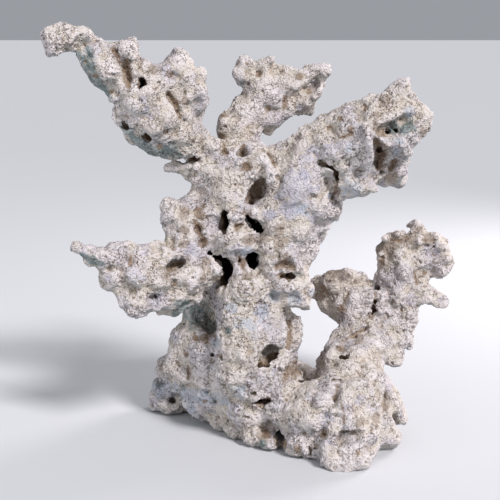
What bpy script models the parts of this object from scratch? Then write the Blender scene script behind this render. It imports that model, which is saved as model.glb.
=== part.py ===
"""Dry reef rock: a branching boulder of old coral limestone that stands on its own feet.

The rock is built as runs of overlapping lumps, melted into one skin, weathered, hollowed,
cut flat where it stands and sawn apart at its main forks.
+X is the viewer's right, +Y is away from the viewer and +Z is up.
The origin is on the ground, below the middle of the rock.
"""
import bmesh
import bpy
from mathutils import Matrix, Vector, noise

# Driving dimensions, in millimetres
MM = 0.001
LUMP_SPACING = 0.4        # distance between two lumps of a run, as a part of the smaller radius
SKIN_VOXEL = 2.5          # grain of the melted skin
HOLLOW_VOXEL = 2.0        # grain of the hollows
SWELL_SIZE = 30.0         # broad swellings of the surface, across
SWELL_HEIGHT = 3.0
KNOB_SIZE = 17.0          # coral knobs that crowd the surface, across
KNOB_HEIGHT = 4.0
CRUST = 1.5               # crust over the lumps, which makes up for the creases
PIT_SPACING = 21.0        # one pit to a cell of this size
PIT_RADIUS = 6.0
PIT_DEPTH = 4.0
PIT_OFFSET = (7.0, 3.0, 11.0)
CREASE_WIDTH = 0.25       # crease between two knobs, as a part of the knob
SKIN_TRIANGLES = 7700     # faceting of the whole skin before it is sawn
SAW_GAP = 0.3             # kerf at each fork
FOOT_DEPTH = 40.0         # height of the block that trims the feet off flat
GROUND_REACH = 400.0      # half its width

STONE_COLOUR = (0.66, 0.61, 0.53, 1.0)
STONE_ROUGHNESS = 0.95

# Runs of lumps: x, y, z and radius in millimetres, from the root of the limb outwards
UPPER_LEFT_BRANCH = (
    # the arm itself, up to its round tip
    ((-37, 0, 228, 12), (-53, -6, 245, 18), (-70, -14, 260, 21), (-81, -20, 276, 18),
     (-96, -26, 290, 13), (-110, -30, 300, 12), (-122, -34, 314, 10), (-135, -38, 313, 11)),
    # broad lump on the shoulder, with its crown and its outer rim
    ((-54, -4, 251, 17), (-55, -8, 275, 21), (-81, -20, 276, 17)),
    ((-51, -10, 279, 16), (-52, -10, 294, 12)),
    ((-46, 0, 256, 9), (-39, 0, 265, 8), (-39, -2, 274, 9)),
    # saddle between the shoulder and the knob
    ((-63, -10, 288, 9), (-74, -14, 285, 10)),
    # knob halfway out
    ((-92, -26, 292, 10), (-91, -26, 306, 9)),
    # hanging underside
    ((-59, -6, 237, 14), (-73, -14, 241, 15), (-83, -16, 252, 14)),
    ((-93, -20, 264, 7), (-107, -24, 282, 6), (-119, -30, 297, 6)),
    # drooping lip of the tip
    ((-141, -38, 306, 4), (-143, -38, 303, 3)),
)
TOP_BRANCH = (
    ((-8, 16, 226, 15), (-11, 22, 242, 14), (-2, 26, 255, 14), (9, 28, 265, 13), (16, 30, 274, 13),
     (0, 28, 284, 12)),
    # bulge on the left of the neck
    ((-19, 22, 242, 6), (-17, 24, 250, 9)),
    # two small horns on the left head
    ((-4, 26, 286, 9), (-3, 26, 296, 6)),
    ((14, 30, 285, 11), (16, 30, 295, 7)),
    # long horn to the right
    ((16, 30, 274, 13), (30, 30, 273, 15), (41, 28, 278, 12), (52, 26, 283, 9), (59, 24, 289, 5)),
    # frilled underside
    ((6, 24, 250, 12), (18, 28, 255, 12), (30, 30, 262, 12), (41, 28, 262, 7), (49, 26, 270, 7),
     (54, 26, 279, 6)),
)
RIGHT_BRANCH = (
    ((38, -8, 213, 20), (53, -12, 226, 20), (71, -16, 234, 22), (88, -20, 239, 24),
     (105, -22, 246, 22), (112, -22, 251, 19)),
    # upper edge, up to the pointed tip
    ((39, -8, 232, 10), (55, -12, 244, 12), (74, -16, 255, 12), (94, -20, 260, 9),
     (106, -22, 269, 10), (111, -22, 277, 9), (113, -22, 284, 6)),
    # blunt outer edge
    ((116, -22, 268, 7), (124, -24, 255, 8), (126, -22, 246, 7), (115, -14, 238, 10), (116, -12, 226, 9)),
    # heavy lobe under the arm, beside the crack
    ((71, -16, 214, 12), (74, -20, 207, 12), (87, -20, 206, 10)),
    # crumbling lobe under the outer end
    ((101, -14, 223, 17), (108, -12, 215, 13), (113, -12, 209, 10)),
)
TRUNK = (
    ((-19, 4, 212, 23), (-11, 2, 186, 26), (-8, 0, 159, 28), (-3, 0, 131, 28), (0, -2, 107, 28),
     (3, -6, 84, 31), (2, -8, 62, 33)),
    # knob beside the root of the upper left arm
    ((-24, 2, 218, 12), (-28, 0, 229, 8)),
    # saddle below the top branch
    ((-8, 10, 214, 17), (5, 14, 219, 15), (15, 12, 220, 11)),
    # broad right-hand slab
    ((-19, 4, 212, 23), (24, -4, 210, 23), (38, -8, 199, 25), (35, -6, 180, 25), (26, -4, 160, 26),
     (17, -2, 137, 27)),
    ((57, -6, 188, 14), (61, -6, 185, 9), (53, -4, 176, 12), (42, -2, 157, 11), (34, -2, 142, 10)),
    ((-11, 2, 186, 26), (35, -6, 180, 25)),
    # round bulge on the left
    ((-55, -4, 179, 14), (-44, -2, 169, 22), (-46, -6, 155, 20)),
    ((-34, 4, 193, 11), (-39, 6, 203, 7)),
    # ear on the right, above the window beside the side stem
    ((23, -8, 121, 15), (37, -10, 120, 11)),
    # rim down the right edge
    ((29, 0, 93, 11), (34, 4, 77, 8), (29, 4, 62, 10)),
    # shoulder behind and below the left branch
    ((-34, 26, 112, 18), (-41, 34, 92, 16), (-30, 30, 72, 20), (-46, 28, 64, 20), (-27, 10, 65, 23)),
    ((-51, 34, 76, 9), (-55, 34, 57, 11)),
    # filling behind the front, and the swellings of the back
    ((10, 14, 208, 22), (24, 12, 190, 25), (16, 13, 165, 26), (8, 14, 135, 27), (6, 16, 100, 29),
     (-2, 20, 66, 32)),
    ((16, 28, 190, 19), (6, 32, 172, 14)),
    ((-30, 16, 190, 12), (-22, 22, 176, 17), (-6, 28, 158, 18), (-24, 22, 146, 16)),
    ((22, 30, 132, 16), (8, 36, 112, 18)),
    ((-8, 46, 84, 17), (10, 44, 62, 22)),
)
THIN_LEDGE = (
    ((-39, 6, 211, 11), (-51, 4, 214, 5), (-61, 2, 215, 4)),
)
LEFT_BRANCH = (
    ((-39, -10, 139, 18), (-59, -22, 140, 18), (-79, -28, 141, 19), (-96, -32, 146, 15),
     (-110, -36, 153, 8), (-122, -38, 160, 5), (-129, -40, 162, 3)),
    # straight upper edge
    ((-68, -24, 155, 5), (-90, -30, 156, 5), (-108, -34, 157, 4), (-119, -36, 156, 4)),
    # stepped lower edge
    ((-99, -32, 136, 9), (-107, -32, 139, 8)),
    ((-85, -30, 122, 15), (-88, -30, 113, 9), (-90, -28, 107, 6)),
    ((-49, -16, 124, 15), (-69, -24, 122, 13)),
    ((-56, -8, 110, 8), (-65, -12, 109, 7), (-68, -12, 105, 5)),
)
BASE = (
    # foot at the back left
    ((-54, 40, 27, 15), (-61, 46, 11, 14), (-72, 50, 13, 15)),
    ((-79, 52, 23, 7), (-82, 50, 11, 6), (-84, 50, 4, 4)),
    ((-54, 40, 27, 15), (-62, 40, 39, 14), (-68, 40, 44, 9)),
    ((-48, 30, 48, 19), (-42, 34, 29, 22), (-35, 30, 17, 18), (-32, 22, 12, 13)),
    # front wall, from the left foot to the middle lobe
    ((-24, 14, 41, 28), (-8, 6, 22, 24), (10, -8, 21, 25), (10, -14, 13, 18)),
    ((-20, 14, 7, 13), (-5, -2, 8, 16), (10, -16, 7, 13), (14, -26, 6, 11)),
    ((-24, 14, 41, 28), (10, -6, 43, 28), (33, -20, 32, 23), (39, -26, 29, 22), (54, -34, 30, 26),
     (73, -44, 34, 26)),
    # lobes of the front foot
    ((39, -34, 9, 14), (40, -42, 5, 11)),
    ((73, -50, 16, 23), (63, -56, 8, 14), (73, -60, 6, 14), (83, -56, 8, 14)),
    ((55, -48, 8, 11), (94, -40, 10, 12)),
    # right flank and its two spurs
    ((87, -20, 45, 21), (100, -16, 34, 18), (113, -8, 22, 10), (121, -4, 12, 7)),
    ((98, -34, 20, 15), (108, -36, 11, 9), (114, -36, 6, 5)),
    # back of the base
    ((0, 42, 28, 24), (34, 52, 23, 17), (56, 44, 20, 17), (74, 20, 28, 24), (73, -30, 39, 24)),
    ((41, 54, 31, 12), (43, 60, 9, 16)),
    ((40, 6, 22, 18), (30, 22, 16, 18)),
    ((0, 42, 28, 24), (-43, 48, 17, 20)),
)
SIDE_STEM = (
    ((73, -30, 39, 24), (79, -8, 49, 24), (86, 16, 56, 22), (94, 34, 64, 20)),
    # brow over the window
    ((61, 20, 51, 6), (67, 16, 56, 10), (73, 20, 60, 10), (69, 32, 65, 5), (75, 34, 69, 7)),
    # overhang below the tall fork
    ((94, 34, 64, 20), (106, 34, 62, 16), (115, 34, 58, 9), (121, 32, 51, 5), (121, 32, 48, 4)),
)
SHORT_FORK = (
    ((91, 39, 74, 14), (85, 48, 88, 13), (82, 56, 98, 16), (78, 62, 105, 16), (66, 66, 105, 12),
     (56, 68, 106, 7)),
    ((79, 62, 115, 9), (86, 62, 116, 7)),
    ((91, 46, 101, 10), (91, 42, 93, 8)),
    ((61, 62, 97, 8), (71, 58, 91, 9), (81, 54, 84, 10)),
)
TALL_FORK = (
    ((108, 36, 63, 16), (121, 44, 77, 15), (125, 50, 94, 15), (123, 56, 108, 15), (128, 60, 121, 16),
     (132, 64, 136, 18)),
    ((115, 58, 111, 10), (115, 60, 101, 9), (115, 60, 94, 6)),
    # knobbly head
    ((132, 64, 136, 18), (111, 64, 137, 7), (107, 64, 140, 4)),
    ((132, 64, 136, 18), (113, 62, 128, 8)),
    ((118, 64, 146, 9), (121, 64, 148, 6), (133, 62, 142, 11), (141, 62, 156, 5), (140, 62, 160, 3)),
    ((132, 64, 136, 18), (148, 64, 139, 13), (160, 62, 141, 8), (164, 60, 131, 9), (158, 60, 123, 9),
     (147, 62, 126, 12)),
    # spike to the right
    ((130, 56, 110, 13), (142, 52, 106, 10), (153, 48, 102, 8), (162, 46, 97, 4)),
    # spur and swelling on the right of the shaft
    ((126, 46, 80, 12), (131, 42, 69, 7), (135, 40, 62, 4)),
    ((129, 46, 88, 10), (133, 46, 93, 7)),
)

# Hollows, each a run of lumps taken out: x, y, z and radius, from the mouth inwards
HOLLOWS = (
    # black slot, double hole, crescent and round hole in the middle of the front
    ((-21, -25, 185, 4.5), (-21, -25, 170, 4.5), (-20, -10, 177, 7)),
    ((-2, -27, 181, 5.5), (3, -27, 176, 5), (8, -26, 171, 6)),
    ((3, -27, 176, 5), (3, -8, 177, 9)),
    ((-27, -21, 152, 4), (-18, -26, 150, 5), (-14, -28, 143, 6), (-17, -26, 134, 6), (-26, -18, 126, 5)),
    ((-15, -28, 143, 5), (-16, -10, 142, 9)),
    ((-6, -30, 148, 5), (2, -29, 149, 7), (3, -10, 150, 9)),
    # brown cave below the top branch, and the small ones at its root
    ((9, -26, 211, 6), (5, -24, 201, 9), (0, -26, 191, 7)),
    ((-5, -14, 229, 5), (-4, 0, 227, 5)),
    ((-21, 2, 236, 4), (-19, 12, 236, 4)),
    # window low on the front, and the long hollow beside it
    ((19, -36, 80, 8), (12, -38, 74, 7), (7, -41, 67, 5)),
    ((17, -36, 78, 7), (14, -18, 76, 10)),
    ((32, -11, 98, 4), (31, -19, 88, 5), (29, -25, 76, 5)),
    # pocket above the ear
    ((18, -30, 136, 3), (34, -25, 136, 3)),
    ((26, -31, 147, 6), (26, -26, 139, 5)),
    # mouth in the front foot
    ((57, -68, 20, 5), (70, -73, 28, 6), (82, -69, 29, 6), (89, -62, 27, 4)),
    # arch between the feet, and slots in the front wall
    ((25, -34, 6, 6), (22, -14, 6, 8), (10, 20, 4, 9)),
    ((4, -38, 37, 5), (16, -38, 41, 5)),
    ((-72, 35, 14, 5), (-65, 31, 17, 6), (-57, 22, 18, 6)),
    # hollow and cracks of the left branch and the bulge
    ((-65, -43, 143, 5), (-57, -40, 147, 8), (-46, -33, 150, 6)),
    ((-57, -40, 147, 7), (-52, -26, 147, 7)),
    ((-42, -24, 179, 3), (-38, -24, 171, 3), (-35, -23, 164, 4)),
    # grooves of the upper left arm
    ((-88, -38, 296, 4), (-90, -40, 278, 5)),
    ((-60, -31, 269, 3), (-51, -28, 255, 3)),
    ((-66, -4, 220, 3), (-52, -8, 221, 3), (-41, -14, 225, 3)),
    # pits of the top branch
    ((6, 17, 287, 4), (6, 22, 286, 4)),
    ((40, 15, 275, 5), (52, 17, 280, 5)),
    # crack between the trunk and the right arm
    ((47, -32, 227, 3), (58, -33, 219, 3), (65, -27, 212, 4), (64, -17, 199, 4)),
    # recess and crumbling trough of the right arm
    ((92, -44, 248, 5), (104, -44, 250, 8), (117, -41, 254, 8), (128, -32, 257, 5)),
    ((90, -45, 240, 5), (92, -44, 232, 7), (99, -34, 222, 7), (106, -28, 213, 6)),
    # creases of the side stem and its forks
    ((65, 13, 69, 4), (76, 15, 76, 4), (87, 25, 82, 4), (98, 30, 86, 4)),
    ((107, 31, 83, 4), (104, 44, 88, 4)),
    ((139, 45, 117, 4), (140, 56, 115, 4)),
    # flute on the right flank
    ((105, -28, 50, 4), (106, -35, 38, 5), (107, -47, 24, 4)),
    # hollows of the back
    ((-12, 50, 168, 8), (2, 56, 178, 7)),
    ((30, 52, 150, 6), (22, 58, 136, 8)),
    ((-24, 54, 104, 8), (-14, 62, 90, 7)),
    ((22, 74, 60, 7), (10, 72, 46, 8)),
    ((-50, 62, 52, 7), (-38, 66, 36, 7)),
    ((70, 2, 226, 7), (86, 6, 236, 7)),
    ((-66, 12, 262, 6), (-54, 14, 274, 6)),
    ((-78, -2, 134, 7), (-92, -8, 142, 6)),
    ((92, 48, 48, 6), (100, 56, 60, 6)),
    ((120, 82, 126, 6), (134, 84, 138, 6)),
    ((4, 46, 268, 5), (20, 46, 278, 5)),
    ((76, 84, 100, 6), (86, 78, 90, 5)),
)

# Saw cuts at the forks: middle, direction across the limb, direction along it, half widths
FORK_CUTS = (
    ((-45.4, -6, 232.5), (-0.872, 0, -0.489), (-0.489, 0, 0.872), (20.6, 22)),
    ((-7.5, 22, 240), (1, 0, 0.05), (-0.05, 0, 1), (19.8, 20)),
    ((50, -9, 216), (0.75, 0, -0.66), (0.66, 0, 0.75), (37, 30)),
    ((-57, -18, 138), (0.36, 0, -0.93), (-0.93, 0, -0.36), (38, 28)),
    ((-20, 12, 51.6), (0.995, 0, 0.1), (-0.1, 0, 0.995), (62, 62)),
    ((82, 4, 53), (0.995, 0, -0.1), (0.1, 0.25, 0.96), (35, 54)),
    ((81, 38, 74.6), (0.85, 0, 0.52), (-0.5, 0.25, 0.83), (25, 30)),
    ((115.4, 38, 66.6), (0.51, 0, -0.86), (0.8, 0.3, 0.5), (22, 24)),
)

# Each piece by its name, with a point in its middle
PIECES = {
    "base": (10, 0, 30),
    "trunk": (0, 0, 150),
    "left_branch": (-85, -30, 138),
    "upper_left_branch": (-80, -20, 272),
    "top_branch": (16, 28, 272),
    "right_branch": (90, -18, 240),
    "side_stem": (90, 24, 60),
    "short_fork": (80, 58, 100),
    "tall_fork": (128, 58, 115),
}


def clear_scene():
    for thing in list(bpy.data.objects):
        bpy.data.objects.remove(thing, do_unlink=True)


def new_object(name, mesh):
    thing = bpy.data.objects.new(name, mesh)
    bpy.context.collection.objects.link(thing)
    return thing


def lumps_along(run):
    """Middles and radii of the lumps that fill the run from its first station to its last."""
    first = run[0]
    yield Vector(first[:3]), first[3]
    for start, end in zip(run, run[1:]):
        start_point = Vector(start[:3])
        end_point = Vector(end[:3])
        spacing = LUMP_SPACING * min(start[3], end[3]) + 1.0
        steps = max(1, round((end_point - start_point).length / spacing))
        for step in range(1, steps + 1):
            share = step / steps
            yield start_point.lerp(end_point, share), start[3] + (end[3] - start[3]) * share


def melted_lumps(name, runs, voxel):
    """One closed skin around all the lumps of the runs."""
    shape = bmesh.new()
    for run in runs:
        for middle, radius in lumps_along(run):
            bmesh.ops.create_icosphere(shape, subdivisions=2, radius=radius * MM,
                                       matrix=Matrix.Translation(middle * MM))
    mesh = bpy.data.meshes.new(name)
    shape.to_mesh(mesh)
    shape.free()
    thing = new_object(name, mesh)
    melt(thing, voxel)
    return thing


def bake(thing):
    """Replace the mesh by what the modifiers make of it."""
    graph = bpy.context.evaluated_depsgraph_get()
    mesh = bpy.data.meshes.new_from_object(thing.evaluated_get(graph))
    thing.modifiers.clear()
    thing.data = mesh


def melt(thing, voxel):
    remesh = thing.modifiers.new("Melt", "REMESH")
    remesh.mode = "VOXEL"
    remesh.voxel_size = voxel * MM
    bake(thing)


def cut(thing, cutter):
    boolean = thing.modifiers.new("Cut", "BOOLEAN")
    boolean.operation = "DIFFERENCE"
    boolean.solver = "EXACT"
    boolean.object = cutter
    bake(thing)
    bpy.data.objects.remove(cutter, do_unlink=True)


def weather(thing):
    """Swell the skin, crowd it with knobs that meet in creases, and pit it."""
    shape = bmesh.new()
    shape.from_mesh(thing.data)
    for vertex in shape.verts:
        place = vertex.co / MM
        swell = noise.fractal(place / SWELL_SIZE, 1.0, 2.0, 2)
        near, next_near = noise.voronoi(place / KNOB_SIZE)[0][:2]
        crease = max(0.0, 1.0 - (next_near - near) / CREASE_WIDTH)
        knob = 0.5 - near - 0.5 * crease
        from_pit = noise.voronoi((place + Vector(PIT_OFFSET)) / PIT_SPACING)[0][0] * PIT_SPACING
        pit = max(0.0, 1.0 - (from_pit / PIT_RADIUS) ** 2)
        height = swell * SWELL_HEIGHT + knob * KNOB_HEIGHT + CRUST - pit * PIT_DEPTH
        vertex.co += vertex.normal * height * MM
    shape.to_mesh(thing.data)
    shape.free()


def facet(thing):
    """Bring the skin down to its number of triangles."""
    triangles = sum(len(face.vertices) - 2 for face in thing.data.polygons)
    decimate = thing.modifiers.new("Facet", "DECIMATE")
    decimate.ratio = SKIN_TRIANGLES / triangles
    bake(thing)


def block(name, middle, across, along, half_sizes):
    """Box with its third side along the given direction; sizes in millimetres."""
    along = Vector(along).normalized()
    across = Vector(across)
    across = (across - along * across.dot(along)).normalized()
    turn = Matrix((across, along.cross(across), along)).transposed().to_4x4()
    size = Matrix.Diagonal(Vector(half_sizes) * 2 * MM).to_4x4()
    shape = bmesh.new()
    bmesh.ops.create_cube(shape, size=1.0, matrix=Matrix.Translation(Vector(middle) * MM) @ turn @ size)
    mesh = bpy.data.meshes.new(name)
    shape.to_mesh(mesh)
    shape.free()
    return new_object(name, mesh)


def trim_feet(thing):
    """Cut the rock off flat at the ground, so that it stands on its feet."""
    half_sizes = (GROUND_REACH, GROUND_REACH, FOOT_DEPTH / 2)
    ground = block("Ground", (0, 0, -FOOT_DEPTH / 2), (1, 0, 0), (0, 0, 1), half_sizes)
    cut(thing, ground)


def saw_at_forks(thing):
    for number, (middle, across, along, (half_across, half_deep)) in enumerate(FORK_CUTS):
        kerf = block(f"Kerf {number}", middle, across, along, (half_across, half_deep, SAW_GAP / 2))
        cut(thing, kerf)


def islands(mesh):
    """Vertex numbers of each separate body of the mesh, largest first."""
    shape = bmesh.new()
    shape.from_mesh(mesh)
    shape.verts.ensure_lookup_table()
    waiting = set(range(len(shape.verts)))
    bodies = []
    while waiting:
        body = set()
        edge_of_search = [waiting.pop()]
        while edge_of_search:
            number = edge_of_search.pop()
            body.add(number)
            for edge in shape.verts[number].link_edges:
                other = edge.other_vert(shape.verts[number]).index
                if other in waiting:
                    waiting.remove(other)
                    edge_of_search.append(other)
        bodies.append(body)
    shape.free()
    return sorted(bodies, key=len, reverse=True)


def body_at(mesh, bodies, point):
    """The body whose middle is nearest to the point."""
    def distance(body):
        middle = sum((mesh.vertices[number].co for number in body), Vector()) / len(body)
        return (middle - Vector(point) * MM).length
    return min(bodies, key=distance)


def take_piece(name, source, body, shift):
    """New object that holds one body of the source."""
    shape = bmesh.new()
    shape.from_mesh(source.data)
    spare = [vertex for vertex in shape.verts if vertex.index not in body]
    bmesh.ops.delete(shape, geom=spare, context="VERTS")
    bmesh.ops.triangulate(shape, faces=shape.faces)
    bmesh.ops.translate(shape, verts=shape.verts, vec=shift)
    mesh = bpy.data.meshes.new(name)
    shape.to_mesh(mesh)
    shape.free()
    piece = new_object(name, mesh)
    piece.data.materials.append(stone(name))
    return piece


def stone(name):
    material = bpy.data.materials.new(f"{name} limestone")
    material.use_nodes = True
    surface = material.node_tree.nodes["Principled BSDF"]
    surface.inputs["Base Color"].default_value = STONE_COLOUR
    surface.inputs["Roughness"].default_value = STONE_ROUGHNESS
    surface.inputs["Metallic"].default_value = 0.0
    return material


def centre_shift(mesh):
    """Move that brings the middle of the rock's foot print over the origin."""
    xs = [vertex.co.x for vertex in mesh.vertices]
    ys = [vertex.co.y for vertex in mesh.vertices]
    return Vector((-(min(xs) + max(xs)) / 2, -(min(ys) + max(ys)) / 2, 0))


clear_scene()
limbs = (UPPER_LEFT_BRANCH + TOP_BRANCH + RIGHT_BRANCH + TRUNK + THIN_LEDGE + LEFT_BRANCH + BASE
         + SIDE_STEM + SHORT_FORK + TALL_FORK)
rock = melted_lumps("Rock", limbs, SKIN_VOXEL)
cut(rock, melted_lumps("Hollows", HOLLOWS, HOLLOW_VOXEL))
melt(rock, SKIN_VOXEL)
weather(rock)
melt(rock, SKIN_VOXEL)
facet(rock)
trim_feet(rock)
saw_at_forks(rock)
rock_bodies = islands(rock.data)
shift_to_origin = centre_shift(rock.data)
for piece_name, piece_middle in PIECES.items():
    take_piece(piece_name, rock, body_at(rock.data, rock_bodies, piece_middle), shift_to_origin)
bpy.data.objects.remove(rock, do_unlink=True)
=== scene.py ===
"""The looks of the dry reef rock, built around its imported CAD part.

The whole stone is gathered from its limbs, given the lumps and hollows of each limb, weathered,
coloured and parted again at its forks. Metres, +Z up, +Y away from the viewer.
"""
import math

import bmesh
import bpy
import numpy as np
from mathutils import Matrix, Vector, noise
from mathutils.bvhtree import BVHTree
from mathutils.kdtree import KDTree


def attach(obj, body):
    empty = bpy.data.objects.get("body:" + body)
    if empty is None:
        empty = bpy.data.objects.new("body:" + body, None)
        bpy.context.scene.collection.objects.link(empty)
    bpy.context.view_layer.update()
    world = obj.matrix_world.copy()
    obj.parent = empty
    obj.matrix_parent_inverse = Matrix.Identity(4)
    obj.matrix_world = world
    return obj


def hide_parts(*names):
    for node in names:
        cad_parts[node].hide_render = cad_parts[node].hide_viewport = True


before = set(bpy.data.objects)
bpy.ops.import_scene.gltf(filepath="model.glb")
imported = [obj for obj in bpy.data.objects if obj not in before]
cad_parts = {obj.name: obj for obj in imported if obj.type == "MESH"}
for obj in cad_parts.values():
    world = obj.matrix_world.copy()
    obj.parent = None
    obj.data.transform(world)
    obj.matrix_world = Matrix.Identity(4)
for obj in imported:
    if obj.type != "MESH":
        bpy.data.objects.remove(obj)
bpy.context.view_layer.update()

# The view
# The rock stands about eighty centimetres from the eye and is seen from straight in front and a
# little above. Marks that are named by a pixel of the 500-pixel picture are found along this sight.
MM = 0.001
VIEW_CENTRE = Vector((-12.4, -4.0, 151.0)) * MM
VIEW_DISTANCE = 0.8
VIEW_DOWN = math.radians(12)
PICTURE = 500
FILM = 36.0
LENS = 73.87
NEAREST_SEEN = 0.01

eye = bpy.data.objects.new("eye", bpy.data.cameras.new("eye"))
bpy.context.collection.objects.link(eye)
eye.data.sensor_width = FILM
eye.data.lens = LENS
eye.data.clip_start = NEAREST_SEEN
view_direction = Vector((0, math.cos(VIEW_DOWN), -math.sin(VIEW_DOWN)))
eye.location = VIEW_CENTRE - view_direction * VIEW_DISTANCE
eye.rotation_mode = "QUATERNION"
eye.rotation_quaternion = view_direction.to_track_quat("-Z", "Y")
bpy.context.scene.camera = eye


def sight_through(u, v):
    """Direction of the line of sight through a pixel of the picture."""
    across = (u - PICTURE / 2) * FILM / PICTURE / LENS
    up = (PICTURE / 2 - v) * FILM / PICTURE / LENS
    return (eye.rotation_quaternion @ Vector((across, up, -1))).normalized()


# The stone
# One unbroken piece of limestone that an old coral colony left, grown as lumps upon lumps. The
# limbs are melted together into one skin, so that no seam shows between them.
LIMBS = ("base", "trunk", "left_branch", "upper_left_branch", "top_branch", "right_branch",
         "side_stem", "short_fork", "tall_fork")
WELD = 0.01 * MM
KERF_FILL = 0.5 * MM              # closes the saw gaps between the solids
ROUGH_GRAIN = 1.7 * MM
SMOOTHING = 0.5
STONE_TURNS = 4


def bake(thing):
    """Replace the mesh by what the modifiers make of it."""
    graph = bpy.context.evaluated_depsgraph_get()
    mesh = bpy.data.meshes.new_from_object(thing.evaluated_get(graph))
    thing.modifiers.clear()
    thing.data = mesh


def melt(thing, grain):
    """One new skin round everything that overlaps."""
    remesh = thing.modifiers.new("melt", "REMESH")
    remesh.mode = "VOXEL"
    remesh.voxel_size = grain
    bake(thing)


def wear(thing, turns):
    """Round the edges off."""
    rounding = thing.modifiers.new("rounding", "SMOOTH")
    rounding.factor = SMOOTHING
    rounding.iterations = turns
    bake(thing)


gathered = bmesh.new()
for limb in LIMBS:
    solid = bmesh.new()
    solid.from_mesh(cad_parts[limb].data)
    bmesh.ops.remove_doubles(solid, verts=solid.verts, dist=WELD)
    solid.normal_update()
    for vertex in solid.verts:
        vertex.co += vertex.normal * KERF_FILL
    loose = bpy.data.meshes.new(limb)
    solid.to_mesh(loose)
    solid.free()
    gathered.from_mesh(loose)
stone_mesh = bpy.data.meshes.new("stone")
gathered.to_mesh(stone_mesh)
gathered.free()
stone = bpy.data.objects.new("stone", stone_mesh)
bpy.context.collection.objects.link(stone)
melt(stone, ROUGH_GRAIN)
wear(stone, STONE_TURNS)

# The upper left arm
# A long arm that reaches up to a round, finely pored tip, with a knob halfway out and a broad
# shoulder beside the trunk. Its underside is pitted, and painted teal shade darkens it.
PIXEL = FILM / PICTURE / LENS     # width of a pixel at a distance of one metre
STONE_REACH = 110                 # how far the rock reaches before and behind its middle, in mm
SEARCH_STEP = 4
RUN_STEP = 0.5                    # from one mark of a run to the next, as a share of the radius
GROWTH_SINK = 0.4                 # how far behind the skin a growth's middle lies
GROWTH_SPARE = 1.3 * MM           # what melting and wearing take off a growth
SWELL_SPARE = 1.35                # what they take off a swell


def skin_of(thing):
    shape = bmesh.new()
    shape.from_mesh(thing.data)
    tree = BVHTree.FromBMesh(shape)
    shape.free()
    return tree


# Marks on the stone are named by the pixel where they show, with a radius in pixels, and found on
# the skin along the line of sight, so that each one sits on the stone from any side.
skin = skin_of(stone)
growths = []
swells = []
dents = []
holes = []
# Kinds of patch: brown dirt, pored and smooth skin, lilac tone, and painted light, shade and
# reflection
patch_kinds = {kind: [] for kind in
          ("brown", "painted_shade", "teal_shade", "blue_reflection", "lilac_and_shade", "painted_light", "pored", "smooth")}


def on_skin(u, v):
    """The point of the skin that shows at a pixel or lies nearest to it, its outward normal and
    the line of sight."""
    sight = sight_through(u, v)
    place, outward, _, _ = skin.ray_cast(eye.location, sight)
    if place is None:
        steps = [eye.location + sight * (VIEW_DISTANCE + step * MM)
                 for step in range(-STONE_REACH, STONE_REACH + 1, SEARCH_STEP)]
        place, outward, _, _ = min((skin.find_nearest(step) for step in steps),
                                   key=lambda hit: hit[3])
    return place, outward, sight


def run_of(marks):
    """The marks with as many between them as make an unbroken run."""
    yield marks[0]
    for start, end in zip(marks, marks[1:]):
        gap = math.dist(start[:2], end[:2])
        steps = max(1, round(gap / (RUN_STEP * min(start[2], end[2]) + RUN_STEP)))
        for step in range(1, steps + 1):
            share = step / steps
            yield tuple(a + (b - a) * share for a, b in zip(start, end))


def spot_at(u, v, r, strength):
    """Place, radius and strength of a mark, and the sight that found it."""
    place, _, sight = on_skin(u, v)
    return place, r * PIXEL * (place - eye.location).length, strength, sight


def spots_of(marks):
    return [spot_at(*mark) for mark in marks]


def along_sight(u, v, r):
    """The point of the sight that comes nearest to the skin, and the radius there."""
    place, _, sight = on_skin(u, v)
    away = (place - eye.location).dot(sight)
    return eye.location + sight * away, r * PIXEL * away, sight


def growth(*marks):
    """Round lumps where the stone reaches further out than its limb."""
    for mark in run_of(marks):
        middle, radius, sight = along_sight(*mark)
        growths.append((middle + sight * radius * GROWTH_SINK, radius + GROWTH_SPARE))


def swell(rise, *marks):
    """A ridge of lumps that stands the rise in millimetres above the stone."""
    swells.extend((*mark, SWELL_SPARE * rise * MM) for mark in run_of(marks))


def lumps(rise, *marks):
    """Separate lumps."""
    for mark in marks:
        swell(rise, mark)


def dent(depth, *marks):
    """A shallow hollow or groove, its depth in millimetres."""
    dents.extend((*mark, depth * MM) for mark in run_of(marks))


def patches_at(kind, *marks):
    """Separate patches of another colour or grain, and patches of painted light and shade."""
    patch_kinds[kind].extend((*mark, 1.0) for mark in marks)


def streak(kind, *marks):
    """An unbroken run of another colour or grain, or of painted shade and reflection."""
    patches_at(kind, *run_of(marks))


def groove(depth, *marks):
    """A shallow hollow or groove, brown with dirt."""
    dent(depth, *marks)
    streak("brown", *marks)


def pits(depth, *marks):
    """Separate shallow pits, brown with dirt."""
    for mark in marks:
        groove(depth, mark)


def hole(depth, *marks):
    """A deep hollow, undercut behind its rim."""
    holes.append((depth * MM, marks))


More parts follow.
